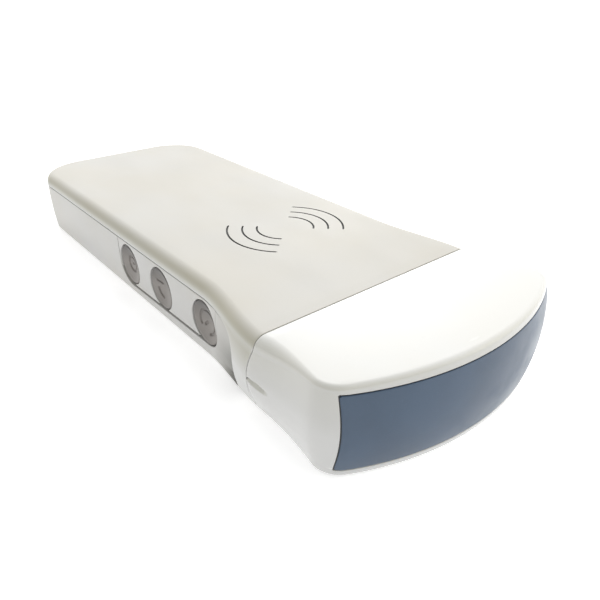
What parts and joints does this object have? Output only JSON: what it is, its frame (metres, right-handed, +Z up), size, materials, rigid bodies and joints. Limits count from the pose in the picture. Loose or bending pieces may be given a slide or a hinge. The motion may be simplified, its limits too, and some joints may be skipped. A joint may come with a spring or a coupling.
{
  "type": "ultrasound scanner",
  "caption": "Flat handheld wireless ultrasound scanner: rounded grip flaring to a convex probe head, with dished side buttons.",
  "frame": {"origin": "middle of the bounding box at its base, on the plane the scanner lies on", "axes": "+Z up out of the top face, +Y from the probe head towards the rear end, buttons on the -X flank"},
  "size_m": [0.06, 0.156, 0.019],
  "materials": {
    "cover_cream": "cream-white satin ABS, very fine moulded texture",
    "cover_cool": "cool light grey-white satin ABS",
    "head_gloss": "polished near-white ABS",
    "lens_rubber": "slate-blue satin room-temperature-vulcanised silicone",
    "seal_rubber": "dark grey silicone",
    "key_rubber": "warm grey dished silicone keys",
    "pcb_green": "green solder mask",
    "chip_black": "black moulded epoxy",
    "steel_plated": "plated sheet and screws",
    "aluminium_plain": "plain aluminium",
    "frame_black": "black glass-filled nylon",
    "battery_foil": "aluminium-laminate pouch",
    "polyimide_film": "amber polyimide film",
    "connector_ivory": "ivory connector body",
    "piezo_ceramic": "diced lead zirconate titanate",
    "matching_blue": "filled epoxy",
    "thermal_pad_blue": "soft gap-filling silicone",
    "label_silver": "blank silver polyester film"
  },
  "bodies": {
    "housing": {"top_cover": "cover_cream", "bottom_cover": "cover_cool", "head_shell": "head_gloss", "acoustic_lens": "lens_rubber", "lens_bond": "seal_rubber", "cover_seal": "seal_rubber", "head_seal": "seal_rubber", "keypad_panel": "cover_cool", "switch_rear": "steel_plated", "switch_middle": "steel_plated", "switch_front": "steel_plated", "keypad_board": "pcb_green", "keypad_flex": "polyimide_film", "mid_frame": "frame_black", "battery_pack": "battery_foil", "battery_socket": "connector_ivory", "battery_lead": "seal_rubber", "main_board": "pcb_green", "shield_can": "steel_plated", "processor_chip": "chip_black", "thermal_pad": "thermal_pad_blue", "heat_spreader": "aluminium_plain", "pulser_chip_left": "chip_black", "pulser_chip_right": "chip_black", "receiver_chip_left": "chip_black", "receiver_chip_right": "chip_black", "wifi_module": "steel_plated", "wifi_antenna": "polyimide_film", "charge_port": "steel_plated", "rating_label": "label_silver", "array_frame": "aluminium_plain", "matching_layer": "matching_blue", "piezo_array": "piezo_ceramic", "backing_block": "chip_black", "array_connector_upper": "connector_ivory", "array_connector_lower": "connector_ivory", "array_flex_upper": "polyimide_film", "array_flex_lower": "polyimide_film", "cover_screw_rear_left": "steel_plated", "cover_screw_rear_right": "steel_plated", "cover_screw_middle_left": "steel_plated", "cover_screw_middle_right": "steel_plated", "head_screw_left": "steel_plated", "head_screw_right": "steel_plated", "board_screw_rear_left": "steel_plated", "board_screw_rear_right": "steel_plated", "board_screw_front_left": "steel_plated", "board_screw_front_right": "steel_plated"},
    "rear_key": {"button_rear": "key_rubber"},
    "middle_key": {"button_middle": "key_rubber"},
    "front_key": {"button_front": "key_rubber"}
  },
  "joints": [
    {"name": "rear_key_press", "type": "slide", "parent": "housing", "child": "rear_key", "axis": [1, 0, 0], "range_m": [0, 0.0005], "stiffness_N_per_m": 2500, "springref_m": -0.0002},
    {"name": "middle_key_press", "type": "slide", "parent": "housing", "child": "middle_key", "axis": [1, 0, 0], "range_m": [0, 0.0005], "stiffness_N_per_m": 2500, "springref_m": -0.0002},
    {"name": "front_key_press", "type": "slide", "parent": "housing", "child": "front_key", "axis": [1, 0, 0], "range_m": [0, 0.0005], "stiffness_N_per_m": 2500, "springref_m": -0.0002}
  ]
}
